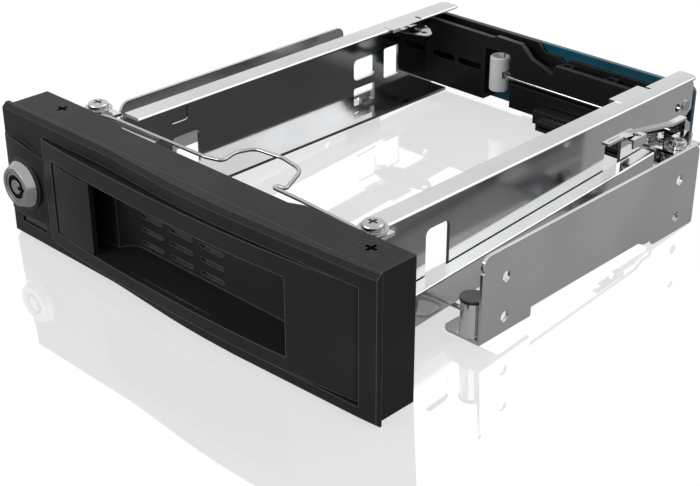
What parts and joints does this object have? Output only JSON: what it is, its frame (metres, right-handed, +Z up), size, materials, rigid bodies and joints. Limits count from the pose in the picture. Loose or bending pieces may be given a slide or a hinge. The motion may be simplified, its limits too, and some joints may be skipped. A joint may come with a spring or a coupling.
{
  "type": "hot swap drive cage",
  "caption": "Trayless hot swap drive cage: keyed bezel, hinged door with a finger flap, open sheet steel rails and an ejector lever that pushes a bare disk out.",
  "frame": {"origin": "under the middle of the whole cage, at the height of the bezel's lower edge", "axes": "+X to the right seen from the front, +Y from the front to the rear, the way a disk goes in, +Z up"},
  "size_m": [0.1482, 0.179, 0.0421],
  "materials": {
    "bezel_plastic": "fine satin texture",
    "flap_plastic": "fine satin texture",
    "light_plastic": "smoky and polished",
    "light_board": "lacquered",
    "gasket_rubber": "matt",
    "lock_chrome": "polished",
    "lock_core": "turned",
    "zinc_steel": "zinc plated",
    "spring_steel": "drawn and bright",
    "front_steel": "bright rolled sheet",
    "rail_steel": "bright rolled sheet",
    "plate_steel": "plated sheet with a soft sheen",
    "screw_steel": "nickel plated",
    "post_steel": "turned and polished",
    "cap_plastic": "smooth",
    "linkage_steel": "zinc plated sheet",
    "roller_plastic": "smooth acetal",
    "panel_plastic": "satin",
    "board_laminate": "blue lacquer over glass laminate",
    "socket_plastic": "smooth"
  },
  "bodies": {
    "cage": {"bezel_frame": "bezel_plastic", "light_window": "light_plastic", "light_board": "light_board", "lock_gasket": "gasket_rubber", "lock_housing": "lock_chrome", "lock_nut": "zinc_steel", "door_hinge_pin": "zinc_steel", "loop_spring": "spring_steel", "hold_down_spring": "spring_steel", "front_sheet": "front_steel", "rail_right": "rail_steel", "rail_left": "rail_steel", "hold_down_rivets": "rail_steel", "side_plate_right": "plate_steel", "side_plate_left": "plate_steel", "tie_bracket_right": "plate_steel", "tie_bracket_left": "plate_steel", "tie_rivets": "plate_steel", "bezel_screws": "screw_steel", "clamp_screws": "screw_steel", "clamp_washers": "screw_steel", "board_screws": "screw_steel", "panel_screws": "screw_steel", "lever_pivot_screw": "screw_steel", "guide_post_right": "post_steel", "guide_post_left": "post_steel", "guide_pins": "post_steel", "post_caps": "cap_plastic", "rear_panel": "panel_plastic", "backplane_board": "board_laminate", "drive_socket": "socket_plastic", "host_data_socket": "socket_plastic", "host_power_socket": "socket_plastic"},
    "door": {"door_shell": "bezel_plastic", "lock_strike": "zinc_steel", "door_crank_pin": "zinc_steel", "latch_pin": "zinc_steel", "latch_spring": "spring_steel"},
    "latch": {"latch_flap": "flap_plastic"},
    "lock": {"lock_plug": "lock_core", "lock_cam": "zinc_steel", "cam_screw": "zinc_steel"},
    "arm": {"ejector_arm": "linkage_steel"},
    "lever": {"ejector_lever": "linkage_steel", "lever_crank_pin": "linkage_steel"},
    "roller": {"ejector_roller": "roller_plastic"}
  },
  "joints": [
    {"name": "door_hinge", "type": "hinge", "parent": "cage", "child": "door", "pos_m": [0.066, -0.0821, 0.0206], "axis": [0, 0, 1], "range_deg": [0, 90]},
    {"name": "latch_hinge", "type": "hinge", "parent": "door", "child": "latch", "pos_m": [-0.04832, -0.084, 0.02], "axis": [0, 0, -1], "range_deg": [0, 22], "stiffness_Nm_per_rad": 0.02, "springref_deg": -5.73},
    {"name": "lock_turn", "type": "hinge", "parent": "cage", "child": "lock", "pos_m": [-0.065, -0.0825, 0.0195], "axis": [0, -1, 0], "range_deg": [0, 90]},
    {"name": "arm_slide", "type": "slide", "parent": "cage", "child": "arm", "axis": [0, -1, 0], "range_m": [0, 0.012]},
    {"name": "lever_hinge", "type": "hinge", "parent": "cage", "child": "lever", "pos_m": [0.0573, 0.068, 0.0206], "axis": [0, 0, 1], "range_deg": [0, 20]},
    {"name": "roller_swivel", "type": "hinge", "parent": "lever", "child": "roller", "pos_m": [-0.02, 0.0768, 0.02085], "axis": [0, 0, 1], "range_deg": [-18, 18]}
  ],
  "couplings": [
    {"joint": "arm_slide", "follows": "door_hinge", "m_per_rad": 0.0076394},
    {"joint": "lever_hinge", "follows": "door_hinge", "ratio": 0.22222}
  ]
}
